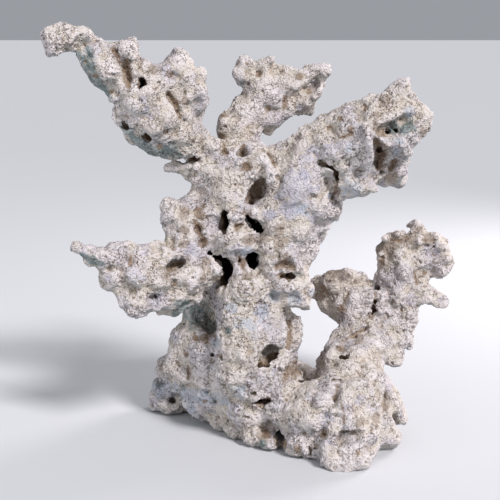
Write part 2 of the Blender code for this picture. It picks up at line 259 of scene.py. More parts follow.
growth((49, 33, 7), (51, 46, 6), (57, 44, 8), (50, 52, 4))
growth((60, 29, 9), (71, 31, 7), (84, 36, 5), (95, 41, 5))
growth((82, 54, 6), (84, 62, 6), (90, 72, 6), (94, 81, 5))
growth((118, 112, 5), (119, 120, 4))
growth((198, 74, 6), (202, 88, 6), (203, 99, 5))
lumps(3, (58, 37, 16), (148, 94, 12), (134, 106, 10), (154, 128, 10), (202, 106, 8), (127, 50, 10),
      (180, 62, 13), (171, 122, 9), (214, 145, 8), (188, 118, 7), (113, 98, 6))
lumps(2.5, (51, 51, 4), (86, 32, 8), (101, 79, 7), (146, 64, 9), (126, 90, 8), (190, 78, 10),
      (166, 68, 8))
lumps(2, (73, 36, 8), (103, 45, 8), (94, 50, 6), (137, 73, 6), (161, 101, 8), (121, 111, 5),
      (141, 124, 7), (188, 178, 6))
lumps(4, (107, 68, 12), (201, 92, 9))
swell(3, (168, 168, 4), (182, 166, 5), (196, 167, 5))
dent(4, (208, 121, 5), (212, 132, 5))
dent(6, (172, 76, 4), (180, 77, 3))
dent(5, (174, 145, 5))
groove(4, (113, 48, 3), (117, 55, 3), (120, 62, 3))
groove(9, (126, 60, 3.5), (127, 73, 5.5), (128, 86, 3.5))
groove(7, (169, 94, 3.5), (175, 104, 4), (180, 116, 4))
pits(4, (166, 131, 3), (195, 139, 2), (203, 149, 2), (85, 62, 3), (96, 76, 3), (112, 92, 3),
     (160, 146, 4))
hole(14, (142.5, 79, 2.5), (142.5, 85, 3))
hole(8, (183, 161, 1.8), (189, 160.5, 2.8), (196, 159, 2.2))
hole(7, (126, 126, 4))
hole(9, (147, 136, 3.5))
patches_at("smooth", (168, 168, 6), (178, 167, 6), (188, 168, 6), (51, 51, 5), (149, 93, 8),
      (180, 60, 8), (201, 92, 6))
# Painted shade: these patches are darkened where shade falls on the stone
patches_at("painted_shade", (152, 69, 7), (170, 74, 5), (184, 101, 7), (177, 108, 5))
# Painted shade, teal: these patches are darkened under overhangs and in recesses
patches_at("teal_shade", (88, 53, 7), (168, 149, 12))
# Painted light: these patches are lightened where light falls on the stone
patches_at("painted_light", (128, 108, 13), (118, 102, 9), (134, 118, 9), (136, 86, 7), (180, 58, 10),
      (108, 66, 9), (127, 47, 7), (134, 106, 7))
# Lilac patches: partly the stone's own tone, partly painted shade
patches_at("lilac_and_shade", (95, 49, 9), (167, 70, 7), (175, 76, 5), (150, 112, 8), (142, 100, 5))
patches_at("pored", (58, 38, 15), (75, 40, 10), (107, 70, 10), (172, 128, 12), (184, 136, 9),
      (127, 50, 8))
# Painted shade, teal: runs darkened along the underside of the arm
streak("teal_shade", (80, 56, 7), (88, 68, 8), (97, 82, 7), (110, 98, 4))
streak("teal_shade", (124, 126, 6), (138, 142, 8), (152, 152, 9), (166, 153, 8), (180, 155, 4))

# The top branch
# A small head on a short neck that grew up behind the trunk, with two stubby horns and a longer one
# to the right. Painted light brightens its crest, and its lower edge is frilled.
growth((246, 61, 5), (239, 72, 5), (240, 82, 5))
growth((262, 66, 5), (271, 60, 4))
growth((318, 89, 6), (314, 98, 5), (304, 105, 3))
growth((326, 76, 5))
growth((280, 69, 5), (291, 73, 4))
growth((224, 119, 4), (222, 130, 4))
growth((268, 131, 4))
lumps(3, (246, 62, 7), (239, 74, 8), (243, 109, 9), (300, 109, 4.5), (308, 104, 3.5),
      (314, 98, 3.5), (320, 91, 3.5))
lumps(2.5, (262, 88, 12), (326, 68, 6), (223, 123, 5), (240, 129, 8), (257, 137, 8), (262, 146, 7),
      (264, 100, 11), (250, 96, 7), (280, 101, 8))
lumps(2, (271, 60, 6), (283, 80, 9), (300, 72, 7), (289, 112, 6), (278, 118, 6), (256, 108, 8))
swell(3, (263, 158, 7), (268, 168, 5), (270, 178, 4))
dent(5, (283, 142, 5))
dent(8, (307, 91, 4.5), (313, 86, 4.5), (317, 80, 3))
groove(3, (285, 97, 3), (284, 108, 3))
groove(9, (224, 146, 4), (225, 152, 4))
groove(9, (244, 145, 2.5), (242, 153, 5))
groove(4, (268, 153, 2), (272, 160, 2), (275, 167, 2))
pits(6, (259, 74, 4))
pits(4, (247, 64, 2.5))
pits(3, (268, 108, 4), (249, 128, 2.5))
pits(5, (246, 166, 6))
patches_at("brown", (223, 115, 5), (222, 137, 6), (299, 76, 6), (309, 92, 4))
# Lilac patches: partly the stone's own tone, partly painted shade
patches_at("lilac_and_shade", (314, 84, 7), (280, 120, 6), (300, 108, 6), (240, 82, 6))
patches_at("smooth", (266, 102, 13), (250, 118, 8))
# Painted light: these patches are lightened where light falls on the stone
patches_at("painted_light", (264, 100, 13), (245, 60, 6), (270, 90, 12), (326, 67, 6), (250, 116, 12),
      (262, 106, 12), (248, 88, 8), (282, 98, 8))

# The right arm
# A heavy arm that grew up and out beside the trunk, parted from it by a crack. Dead coral left a
# brown recess in its face and a crumbling trough below its top edge.
growth((396, 89, 6), (404, 82, 5))
growth((302, 129, 5))
growth((373, 188, 5))
growth((406, 152, 4), (404, 163, 5), (400, 176, 5))
growth((341, 196, 6), (336, 208, 6), (330, 216, 5))
lumps(3, (345, 120, 14), (390, 100, 9), (420, 118, 8), (399, 143, 8), (401, 171, 8), (355, 187, 9))
lumps(2.5, (413, 96, 7), (408, 152, 6), (345, 168, 10), (349, 150, 12), (384, 184, 6),
      (372, 112, 10))
lumps(2, (322, 138, 10), (303, 146, 8), (330, 150, 9), (359, 163, 7))
lumps(4, (397, 124, 3), (405, 127, 3.5), (388, 126, 2.5), (412, 119, 3))
lumps(5, (383, 150, 3), (389, 158, 3.5), (379, 161, 2.5), (387, 144, 2.5), (376, 170, 3),
      (380, 140, 2.5), (376, 154, 2.5), (385, 168, 3), (393, 150, 3))
swell(1.5, (388, 100, 8), (399, 89, 6), (405, 81, 4))
swell(4, (367, 126, 4), (369, 140, 4), (370, 152, 4), (367, 166, 4))
dent(8, (379, 131, 4), (388, 128, 6), (398, 125, 7.5), (409, 121, 7), (418, 117, 5))
groove(6, (337, 179, 2.5), (336, 190, 2.5), (332, 199, 2))
groove(4, (353, 133, 2.5), (346, 136, 2), (340, 137, 2.5))
groove(3, (365, 104, 1.8), (365, 112, 1.8))
groove(9, (376, 138, 4), (378, 148, 5.5), (381, 159, 6), (378, 167, 4.5))
groove(5, (391, 168, 5), (395, 161, 4))
hole(8, (292.5, 152, 1.5), (292, 156, 1.5))
hole(12, (315, 157, 0.9), (321, 163, 1.2), (328, 167, 1.6), (335, 172, 2.2), (338, 179, 2.2))
hole(7, (386, 132, 1.8), (395, 130, 3))
hole(5, (384, 155, 1.4), (380, 147, 1.2), (374, 163, 1.3), (383, 173, 1.4))
# Painted shade, teal: these patches are darkened under overhangs and in recesses
patches_at("teal_shade", (394, 128, 8), (404, 130, 8), (410, 126, 9))
patches_at("brown", (384, 134, 5), (379, 163, 5), (340, 118, 5), (330, 128, 4), (350, 128, 4))
# Painted reflection: a blue-grey tint on shaded faces, as if blue light were reflected onto them
patches_at("blue_reflection", (355, 188, 11), (349, 148, 6), (345, 190, 6), (410, 112, 7), (400, 142, 6),
      (396, 152, 5))
# Painted shade: these patches are darkened where shade falls on the stone
patches_at("painted_shade", (384, 100, 7), (376, 128, 6), (376, 116, 5), (424, 132, 5), (392, 178, 7),
      (383, 150, 10), (380, 164, 8))
# Painted light: these patches are lightened where light falls on the stone
patches_at("painted_light", (360, 162, 14), (392, 163, 8), (344, 196, 5), (330, 180, 5), (352, 172, 9),
      (360, 146, 7), (328, 164, 5))
# Lilac patches: partly the stone's own tone, partly painted shade
patches_at("lilac_and_shade", (330, 148, 10), (395, 150, 6), (380, 184, 6), (408, 172, 6), (312, 150, 8))
patches_at("pored", (345, 120, 14), (330, 135, 10), (390, 108, 10), (350, 165, 9), (402, 165, 9))

# The trunk
# The upright middle of the rock. Boring animals and dead coral left deep holes in its face, a brown
# cave below the top branch and a window low down, and painted shade blackens the holes inside. Its
# right side is a broad smooth slab.
growth((328, 226, 5), (318, 230, 5))
growth((169, 206, 9), (169, 222, 7), (172, 238, 6))
growth((300, 289, 5), (301, 299, 6), (307, 305, 5))
lumps(3, (300, 184, 26), (255, 211, 6.5), (176, 212, 12), (245, 287, 14), (268, 246, 10),
      (170, 365, 12), (235, 345, 16))
lumps(2.5, (236, 217, 5.5), (208, 212, 11), (285, 250, 10), (300, 232, 10), (275, 228, 10),
      (250, 330, 12))
lumps(2, (322, 215, 8), (190, 199, 8), (178, 229, 8), (181, 243, 8), (203, 368, 9), (181, 334, 8),
      (262, 285, 9))
lumps(4, (216, 269.5, 7.5), (196, 281, 13), (201, 182, 9))
swell(2.5, (246, 237, 6), (234, 236, 7), (222, 240, 6))
swell(2, (241, 247, 4.5), (228, 249, 4.5))
swell(3, (300, 268, 6), (306, 281, 6), (296, 286, 7), (282, 288, 7))
swell(3, (283, 323, 3.5), (283, 336, 4))
swell(3, (297, 318, 3), (298, 332, 3.5), (295, 346, 3), (286, 358, 5), (277, 367, 6))
swell(4, (264, 158, 5), (269, 168, 5.5), (272, 179, 5))
dent(4, (305, 325, 4), (305, 340, 4), (304, 352, 4))
dent(4, (281, 172, 3), (281, 184, 3), (275, 194, 3))
dent(4, (274, 296, 6))
dent(4, (294, 297, 7))
dent(7, (200, 312, 14), (212, 326, 9))
dent(8, (184, 309, 7), (192, 306, 6))
groove(10, (262, 183, 4), (258, 190, 8), (251, 200, 5))
groove(8, (237, 228, 3.5), (243, 225, 4))
groove(9, (196, 222, 3.4), (200, 232, 4.4), (204, 244, 3.6))
groove(3, (196, 212, 4), (203, 206, 4))
groove(8, (240, 259, 4.5), (243, 266, 4))
groove(6, (277, 267, 5), (286, 264, 6), (293, 268, 4))
groove(9, (290, 321, 3.4), (290, 333, 4.2), (288, 347, 3.8))
groove(4, (188, 366, 2), (188, 379, 2))
pits(3, (260, 273, 2))
pits(4, (173, 249, 3))
pits(5, (195, 338, 5), (186, 355, 3))
pits(6, (215, 336, 4))
hole(12, (250, 202, 2.2), (252, 203, 2))
hole(22, (224, 215, 4.6), (224, 221, 5), (224.5, 229, 4))
hole(22, (249, 219, 5), (253, 223, 4.6), (259, 228, 6))
hole(24, (210, 254, 2.6), (218, 257, 3.8), (226, 263, 5.2), (230, 271, 5.4), (226, 279, 5),
     (217, 286, 4.4), (211, 290, 3.4))
hole(24, (252, 256, 5.6), (252, 263, 6.8))
hole(9, (240, 261, 2))
hole(9, (281, 277, 2.8), (288, 276, 3.2), (294, 277, 2.8))
hole(13, (274, 354, 5.5), (268, 358, 6), (262, 365, 4))
hole(8, (213, 354.5, 2), (220, 355, 2))
hole(10, (302, 381, 3))
# Painted light: these patches are lightened where light falls on the stone
patches_at("painted_light", (264, 160, 8), (268, 170, 8), (270, 181, 6), (304, 244, 10), (328, 228, 7),
      (325, 178, 5), (202, 182, 12), (312, 243, 12), (327, 226, 8), (297, 244, 7), (328, 180, 4),
      (216, 269, 6), (196, 281, 10), (283, 336, 4), (298, 330, 4), (330, 210, 6), (311, 240, 6),
      (255, 211, 5), (235, 217, 4))
# Painted shade: these patches are darkened where shade falls on the stone
patches_at("painted_shade", (280, 243, 9), (264, 240, 8), (283, 259, 9), (248, 256, 7), (200, 228, 8),
      (203, 243, 7), (204, 262, 6), (202, 278, 6), (280, 229, 7), (248, 276, 6), (248, 164, 7),
      (216, 280, 5), (184, 212, 8), (184, 230, 7), (184, 244, 6), (248, 240, 7), (214, 290, 6),
      (248, 214, 6), (232, 268, 6))
patches_at("brown", (290, 371, 10), (200, 215, 7), (243, 262, 6), (284, 265, 7), (222, 262, 4),
      (238, 226, 6), (244, 167, 7), (205, 337, 9), (248, 260, 6), (288, 374, 10), (296, 371, 8),
      (297, 362, 7))
# Painted shade, teal: these patches are darkened under overhangs and in recesses
patches_at("teal_shade", (195, 312, 18), (210, 326, 10), (184, 307, 12), (228, 331, 5))
# Painted reflection: a blue-grey tint on shaded faces, as if blue light were reflected onto them
patches_at("blue_reflection", (274, 296, 8), (295, 297, 9), (240, 322, 9), (330, 196, 5), (262, 312, 9),
      (300, 210, 9), (246, 252, 8), (248, 324, 9), (232, 308, 8), (216, 342, 8), (312, 292, 6))
# Lilac patches: partly the stone's own tone, partly painted shade
patches_at("lilac_and_shade", (300, 182, 18), (288, 190, 10), (290, 208, 13), (318, 219, 9), (305, 160, 9),
      (236, 250, 8), (270, 215, 8), (191, 250, 9), (262, 310, 10), (176, 336, 8), (276, 372, 7),
      (278, 195, 6), (315, 190, 7), (296, 178, 12), (264, 324, 9))
patches_at("pored", (262, 307, 10), (250, 315, 9), (238, 325, 8), (196, 213, 9), (205, 200, 7),
      (315, 240, 9), (306, 250, 8), (335, 215, 7), (245, 345, 12), (225, 245, 8))
patches_at("smooth", (300, 182, 24), (294, 202, 16), (320, 176, 14), (283, 170, 10), (205, 170, 14),
      (218, 188, 15), (236, 200, 9), (215, 172, 10), (246, 236, 9), (230, 240, 8), (246, 252, 8))
streak("brown", (261, 183, 6), (256, 191, 10), (250, 199, 8))

# The left arm
# A pointed arm at mid height, straight above and stepped below. It grew in smooth plates with pored
# bands between them, and painted teal shade darkens its underside.
growth((77, 249, 4.5), (84, 252, 7.5), (93, 255, 9), (106, 260, 9))
growth((104, 280, 6), (108, 284, 6))
growth((112, 247, 6), (130, 247, 6), (146, 247, 6), (160, 247, 7))
growth((102, 270, 5), (108, 281, 6), (119, 290, 5), (124, 303, 6))
growth((131, 312, 6), (140, 313, 5))
growth((163, 312, 5), (174, 312, 5), (184, 308, 4))
lumps(2, (88, 248, 9), (103, 252, 8), (116, 255, 8), (143, 251, 10), (160, 253, 9))
lumps(3, (112, 277, 11), (136, 277, 12), (157, 279, 10), (135, 305, 11))
swell(2.5, (147, 309, 3.5), (156, 308, 3.5), (166, 304, 4))
dent(7, (151, 299, 4.5), (159, 300, 4.5))
dent(6, (185, 303, 1.8), (196, 298, 1.8), (207, 291, 2))
groove(7, (130, 256, 2.5), (130, 264, 2.8))
groove(9, (168, 269, 3.8), (173, 266, 4.5), (182, 263, 3))
pits(5, (120.6, 270, 2.2))
pits(3, (134, 298, 1.8), (139, 298, 1.6), (133, 305.5, 1.8))
pits(4, (174, 284, 3))
hole(9, (169, 269, 2.2))
# Painted shade, teal: these patches are darkened under overhangs and in recesses
patches_at("teal_shade", (176, 314, 7), (184, 307, 12))
# Painted shade: this patch is darkened where shade falls on the stone
patches_at("painted_shade", (168, 275, 7))
# Painted light: these patches are lightened where light falls on the stone
patches_at("painted_light", (120, 276, 9), (136, 282, 7))
# Lilac patches: partly the stone's own tone, partly painted shade
patches_at("lilac_and_shade", (88, 247, 10), (112, 279, 10), (136, 277, 12), (155, 300, 8), (143, 250, 9))
patches_at("pored", (116, 257, 10), (157, 270, 10), (158, 284, 9), (140, 262, 8), (136, 310, 9))
patches_at("smooth", (112, 278, 10), (136, 277, 11))
patches_at("brown", (175, 270, 7))
# Painted shade, teal: a run darkened along the underside of the arm
streak("teal_shade", (82, 256, 4), (92, 260, 6), (100, 264, 4))

# The side stem and its two forks
# A younger shoot beside the trunk: a stem that parts into a short hooked fork and a taller one
# with a knobbly head.
growth((319, 286, 6), (330, 279, 8), (344, 278, 7), (358, 279, 7))
growth((364, 286, 7), (370, 298, 8), (373, 317, 7))
growth((380, 300, 5), (380, 315, 6))
growth((378, 249, 5), (384, 256, 7), (389, 243, 5), (390, 239, 7), (396, 238, 6))
growth((420, 240, 6), (434, 240, 7), (443, 249, 6), (446, 262, 6), (439, 273, 5), (428, 275, 5))
growth((426, 297, 6), (435, 302, 5), (443, 304, 3))
growth((392, 363, 4), (396, 363, 2.5))
growth((418, 223, 3.5), (419, 230, 4))
growth((338, 342, 4), (334, 352, 5), (330, 361, 5))
growth((320, 361, 5))
lumps(4, (386, 238, 5), (397, 234, 4), (434, 237, 5), (447, 259, 5), (443, 271, 5), (443, 247, 4))
lumps(3, (378, 342, 12), (356, 352, 9), (356, 298, 12), (330, 284, 9), (405, 270, 10),
      (400, 296, 10))
lumps(2.5, (345, 274, 7), (350, 316, 9), (397, 252, 9), (436, 247, 8), (440, 262, 8),
      (412, 320, 10))
lumps(5, (366, 300, 8), (368, 312, 7), (380, 297, 7), (379, 309, 6))
lumps(2, (390, 324, 8), (395, 235, 6), (418, 224, 4), (350, 361, 5), (388, 280, 6), (368, 372, 10))
dent(4, (412, 250, 4), (424, 246, 4))
dent(7, (340, 342, 2.6), (352, 336, 3), (364, 331, 3), (370, 326, 2.4))
dent(8, (366, 322, 2.5), (371, 316, 2.6), (375, 306, 2.6), (377, 296, 3), (377, 288, 3))
groove(4, (392, 240, 1.5), (400, 241, 1.8), (408, 239, 1.5))
groove(4, (422, 240, 1.5), (433, 240, 1.8))
groove(3, (349, 292, 1.6), (344, 303, 2), (340, 310, 2))
groove(3, (414, 272, 1.8), (417, 284, 2))
pits(4, (383, 259, 3), (425, 273, 2.5))
pits(5, (393, 301, 2.5))
hole(30, (406.5, 230.5, 4.4))
hole(30, (428, 230, 3.6))
hole(5, (424, 271, 1.6))
hole(4, (393, 299, 1.2), (398, 299, 1.4))
hole(8, (346, 339, 1.5), (356, 334, 2.1), (366, 329, 1.6))
hole(8, (370, 318, 1.6), (374, 308, 1.7), (376, 298, 1.5))
hole(7, (340, 356.5, 1.9), (347, 356.5, 2.2))
hole(4, (325, 353.5, 2))
hole(4, (395, 366, 1.8))
patches_at("smooth", (405, 264, 15), (350, 304, 13), (332, 286, 12), (362, 352, 13), (394, 318, 10),
      (432, 298, 8), (446, 303, 6), (436, 298, 5), (418, 224, 5), (397, 363, 5), (410, 345, 5),
      (352, 300, 9), (375, 345, 9))
patches_at("brown", (325, 290, 7), (342, 310, 6), (383, 262, 5), (340, 348, 5))
# Painted shade: these patches are darkened where shade falls on the stone
patches_at("painted_shade", (318, 285, 9), (329, 278, 10), (344, 276, 9), (357, 281, 5), (320, 297, 6),
      (378, 249, 7), (386, 246, 9), (396, 240, 9), (408, 240, 8), (392, 256, 6), (360, 339, 8),
      (418, 230, 6), (430, 240, 7), (336, 272, 9), (324, 272, 8), (392, 246, 8))
# Painted light: these patches are lightened where light falls on the stone
patches_at("painted_light", (345, 309, 9), (361, 309, 9), (408, 336, 8), (392, 316, 9), (440, 262, 7),
      (358, 300, 10), (398, 255, 6), (384, 296, 9), (406, 326, 7), (380, 340, 8), (346, 314, 9))
# Lilac patches: partly the stone's own tone, partly painted shade
patches_at("lilac_and_shade", (433, 250, 9), (445, 300, 6), (410, 300, 8), (345, 275, 7))
# Painted shade: runs darkened along the crevices between the forks
streak("painted_shade", (342, 341, 2.5), (370, 326, 2.5))
streak("painted_shade", (371, 317, 2.5), (376, 292, 2.5))

# The base
# The foot that carries it all, with a curled hollow in the back left foot, slots in the front wall
# and a mouth-like hollow above the lip of the front lobe.
growth((156, 400, 6), (166, 408, 5), (180, 410, 5))
growth((228, 430, 5), (242, 436, 5), (262, 440, 8), (272, 442, 8), (283, 444, 8))
growth((330, 461, 8), (346, 464, 8), (364, 460, 8))
growth((397, 405, 6), (402, 417, 5))
lumps(3, (158, 373, 6), (164, 404, 6), (193, 407, 12), (300, 415, 18), (351, 447, 12),
      (365, 386, 16))
lumps(4, (243, 421, 19), (300, 447, 12), (332, 411, 3.5))
lumps(2.5, (275, 413, 12), (375, 430, 12), (350, 368, 11), (330, 450, 10), (345, 400, 9),
      (320, 398, 10))
lumps(2, (262, 420, 8))
swell(3, (393, 398, 6), (398, 410, 6), (401, 420, 5))
swell(3, (332, 441, 3), (336, 448, 3.5), (347, 451, 4), (358, 447, 3.5), (364, 439, 3))
swell(3, (335, 432, 3), (345, 427, 3.5), (357, 426, 3.5), (364, 431, 3))
dent(4, (151, 378, 3), (160, 384, 3), (170, 381, 3.5), (181, 388, 3), (192, 386, 3.5),
     (203, 393, 3), (214, 391, 2.5), (226, 400, 2.5))
dent(8, (217.5, 411, 2), (217.5, 421, 2.2))
dent(6, (341, 442, 5), (348, 440, 7), (355, 438, 5.5))
dent(6, (386, 396, 3), (386, 409, 3.2), (388, 424, 3.2))
groove(4, (341, 403, 1.5), (344, 413, 1.6), (344, 422, 1.5))
groove(7, (337, 385, 2), (337, 392, 2.8), (334, 399, 2))
pits(8, (172, 401, 4.5))
pits(4, (205, 401, 3), (324, 434, 4.5))
pits(5, (268, 434, 5))
pits(3, (357, 453, 3))
hole(12, (257, 404, 2.8), (262, 403, 3.5), (268, 401.5, 2.6))
hole(7, (250, 393, 1.8), (256, 392.5, 2.1))
hole(11, (279, 434, 4), (281, 441, 4.8), (279, 449, 4))
hole(6, (309, 447, 1.2), (310, 456, 1.5))
hole(4, (340, 435, 1.2), (347, 432, 1.6), (355, 431, 1.3))
hole(5, (334, 380.5, 1.2), (342, 380, 1.2))
# Painted shade, teal: these patches are darkened under overhangs and in recesses
patches_at("teal_shade", (160, 384, 4), (183, 388, 4), (207, 392, 3), (262, 444, 5))
# Painted reflection: a blue-grey tint on shaded faces, as if blue light were reflected onto them
patches_at("blue_reflection", (160, 394, 8), (240, 392, 9), (190, 408, 9))
# Painted light: these patches are lightened where light falls on the stone
patches_at("painted_light", (200, 372, 14), (216, 374, 12), (186, 394, 6), (216, 388, 9), (262, 418, 8),
      (320, 372, 9), (312, 430, 9), (184, 405, 12), (196, 408, 9), (168, 356, 8), (184, 372, 8),
      (344, 436, 8), (344, 420, 10), (328, 404, 9), (332, 411, 4.5), (351, 447, 9), (320, 418, 6),
      (348, 441, 8), (346, 458, 10), (312, 373, 7), (312, 436, 7), (200, 374, 10), (216, 380, 10),
      (184, 402, 9))
# Painted shade: these patches are darkened where shade falls on the stone
patches_at("painted_shade", (264, 437, 9), (376, 420, 8), (360, 422, 6), (386, 408, 6))
# Lilac patches: partly the stone's own tone, partly painted shade
patches_at("lilac_and_shade", (193, 407, 12), (153, 402, 7), (325, 420, 10), (330, 440, 8), (235, 410, 9),
      (345, 410, 8), (360, 400, 7), (372, 440, 7))
patches_at("pored", (300, 447, 11), (245, 412, 12), (330, 435, 8), (366, 440, 9), (310, 405, 10),
      (370, 400, 8))
patches_at("smooth", (160, 388, 8), (184, 392, 10), (206, 394, 9), (240, 380, 10), (351, 446, 10),
      (346, 458, 12), (348, 438, 8), (395, 405, 8), (170, 365, 8), (188, 404, 10))
patches_at("brown", (268, 434, 7), (279, 441, 8), (298, 449, 5), (325, 436, 4))
# Painted reflection: a blue-grey run along the shaded groove above the base
streak("blue_reflection", (153, 384, 7), (170, 390, 9), (188, 396, 10), (205, 398, 9), (224, 400, 7))

# The grown skin
# The colony grew in knobs the width of a fingertip that crowd each other and meet in creases. Where
# branches broke off and healed over, leaning flat faces meet in steps. Sizes are in millimetres.
KNOB = 21.0
KNOB_RISE = 1.8
KNOB_FULLNESS = 0.72
KNOB_MIDDLE = 0.6
BLOCK = 16.0
BLOCK_RISE = 4.2
BLOCK_LEAN = 0.6
BLOCK_STEP = 0.25
LEAN_SEED = 7.3
STEP_SEED = 4.1
SMALL_BLOCK = 7.5
SMALL_RISE = 1.4
SMALL_SPREAD = 33.0               # between stretches with many small blocks
SMALL_LEAST = 0.15
SMALL_MIDDLE = 0.45
SMALL_VARIETY = 1.3
SMALL_SEED = Vector((7, 3, 9))
SETTLING = 0.7
SWIRL = 14.0
SWIRL_REACH = 5.0
SWELL_EVENS = 0.4                 # how far a swell quiets the knobs, and a smooth patch does
SMOOTH_EVENS = 0.8
TORN_EDGE = 0.35
TORN_REACH = 1.4
TORN_SIZES = (5 * MM, 2 * MM)
DEEP_SHARE = 0.7
GROWN_TURNS = 2
BALL_ROUNDNESS = 2


def cap(place, size):
    """Height of a round knob over the place, from nought in the creases to one on the crown."""
    near = noise.voronoi(place / size)[0][0]
    return math.sqrt(max(0.0, 1.0 - (near / KNOB_FULLNESS) ** 2))


def block(place, size):
    """Height of a leaning flat face, one of many that meet in steps."""
    _, middles = noise.voronoi(place / size)
    lean = noise.cell_vector(middles[0] * LEAN_SEED) * 2 - Vector((1, 1, 1))
    step = noise.cell(middles[0] * STEP_SEED)
    return (place / size - middles[0]).dot(lean) * BLOCK_LEAN + step * BLOCK_STEP


def swirled(place, size, reach):
    """The place in millimetres, moved aside so that no pattern looks regular."""
    bent = place / MM
    return bent + noise.noise_vector(bent / size) * reach


def with_marks(places, marks, profile, raggedness=TORN_EDGE, deeper=0.0):
    """For each place, the strongest of the marks that reach it."""
    finder = KDTree(len(places))
    for number, place in enumerate(places):
        finder.insert(place, number)
    finder.balance()
    reached = np.zeros(len(places))
    wide, narrow = TORN_SIZES
    for middle, radius, strength, sight in marks:
        for place, number, _ in finder.find_range(middle, radius * TORN_REACH + deeper):
            away = place - middle
            if deeper:
                away -= sight * (away.dot(sight) * DEEP_SHARE)
            torn = noise.noise(place / wide) + 0.5 * noise.noise(place / narrow)
            reached[number] = max(reached[number],
                                  strength * profile(away.length / radius + raggedness * torn))
    return reached


def dome(gap):
    return math.sqrt(max(0.0, 1.0 - gap * gap))


def dish(gap):
    return max(0.0, 1.0 - gap * gap) ** 0.7


def fading(gap):
    return max(0.0, 1.0 - max(0.0, gap) ** 1.5)


def displaced(thing, heights):
    """Move each point of the skin outwards by its height."""
    shape = bmesh.new()
    shape.from_mesh(thing.data)
    shape.normal_update()
    for vertex, height in zip(shape.verts, heights):
        vertex.co += vertex.normal * height
    shape.to_mesh(thing.data)
    shape.free()


def places_of(thing):
    return [vertex.co.copy() for vertex in thing.data.vertices]


def add_ball(shape, middle, radius):
    bmesh.ops.create_icosphere(shape, subdivisions=BALL_ROUNDNESS, radius=radius,
                               matrix=Matrix.Translation(middle))


grown_on = bmesh.new()
for middle, radius in growths:
    ball = bmesh.new()
    add_ball(ball, middle, radius)
    mesh = bpy.data.meshes.new("growth")
    ball.to_mesh(mesh)
    ball.free()
    grown_on.from_mesh(mesh)
grown_on.from_mesh(stone.data)
grown_on.to_mesh(stone.data)
grown_on.free()
melt(stone, ROUGH_GRAIN)
wear(stone, GROWN_TURNS)

skin = skin_of(stone)
places = places_of(stone)
risen = with_marks(places, spots_of(swells), dome)
sunk = with_marks(places, spots_of(dents), dish)
calm = with_marks(places, spots_of(patch_kinds["smooth"]), fading)
heights = []
for place, rise, sink, calmness in zip(places, risen, sunk, calm):
    bent = swirled(place, SWIRL, SWIRL_REACH)
    varied = noise.noise(bent / SMALL_SPREAD + SMALL_SEED)
    small_share = max(0.0, SMALL_MIDDLE + SMALL_VARIETY * varied)
    grown = (cap(bent, KNOB) - KNOB_MIDDLE) * KNOB_RISE + block(bent, BLOCK) * BLOCK_RISE
    grown += block(bent, SMALL_BLOCK) * SMALL_RISE * (SMALL_LEAST + small_share)
    share = (1 - SWELL_EVENS * min(1.0, rise / (2 * MM))) * (1 - SMOOTH_EVENS * calmness)
    heights.append((grown * share - SETTLING * (1 - calmness)) * MM + rise - sink)
displaced(stone, heights)
melt(stone, ROUGH_GRAIN)
skin = skin_of(stone)
patch_spots = {kind: spots_of(marks) for kind, marks in patch_kinds.items()}

# The holes
# Boring animals left deep holes in the coral, and dead parts of it fell out. The holes are widest
# behind their rims, with ragged walls.
HOLE_GRAIN = 1.1 * MM
FINE_GRAIN = 1.0 * MM
SIGHT_WEIGHT = 3                  # a hole goes mostly along the sight, a little into the skin
BORE_STEP = 0.6
UNDERCUT = 0.3
TAPER = 0.2
BORE_START = 0.4
RAGGED = ((5 * MM, 4 * MM), (2.2 * MM, 2.6 * MM))      # sizes and heights of the walls' roughness


def object_of(shape, name):
    mesh = bpy.data.meshes.new(name)
    shape.to_mesh(mesh)
    shape.free()
    thing = bpy.data.objects.new(name, mesh)
    bpy.context.collection.objects.link(thing)
    return thing


def carve(thing, hollows):
    """Take the hollows out of the thing."""
    carving = thing.modifiers.new("carving", "BOOLEAN")
    carving.operation = "DIFFERENCE"
    carving.solver = "MANIFOLD"
    carving.object = hollows
    bake(thing)
    bpy.data.objects.remove(hollows, do_unlink=True)


bores = bmesh.new()
for depth, marks in holes:
    bore = bmesh.new()
    for u, v, r in run_of(marks):
        place, outward, sight = on_skin(u, v)
        radius = r * PIXEL * (place - eye.location).length
        inward = (sight * SIGHT_WEIGHT - outward).normalized()
        steps = max(2, round(depth / (BORE_STEP * radius)))
        for step in range(steps + 1):
            share = step / steps
            width = radius * (1 + UNDERCUT * math.sin(math.pi * share) - TAPER * share ** 3)
            add_ball(bore, place + inward * (depth * share - BORE_START * radius), width)
    mesh = bpy.data.meshes.new("bore")
    bore.to_mesh(mesh)
    bore.free()
    bores.from_mesh(mesh)
hollows = object_of(bores, "hollows")
melt(hollows, HOLE_GRAIN)
displaced(hollows, [sum(noise.noise(place / size) * height for size, height in RAGGED)
                    for place in places_of(hollows)])
melt(hollows, HOLE_GRAIN)
carve(stone, hollows)
melt(stone, FINE_GRAIN)

# The weathered skin
# Sea and sun ate pits, pores and sharp little rims into the old coral after it died. Some faces
# crumbled into ledges and others were worn smooth. Sizes are in millimetres.
WAVES = 6.0
WAVE_REACH = 1.6
RUGGED_SPREAD = 21.0              # between rugged and even stretches
RUGGED_LEAST = 0.2
RUGGED_MIDDLE = 0.55
RUGGED_VARIETY = 1.5
SMOOTHED = 0.7
CRUMB = 3.0
CRUMB_RISE = 0.45
FACET = 3.6
FACET_RISE = 0.9
FACET_LEAST = 0.15
LEDGE = 8.0
LEDGE_RISE = 1.9
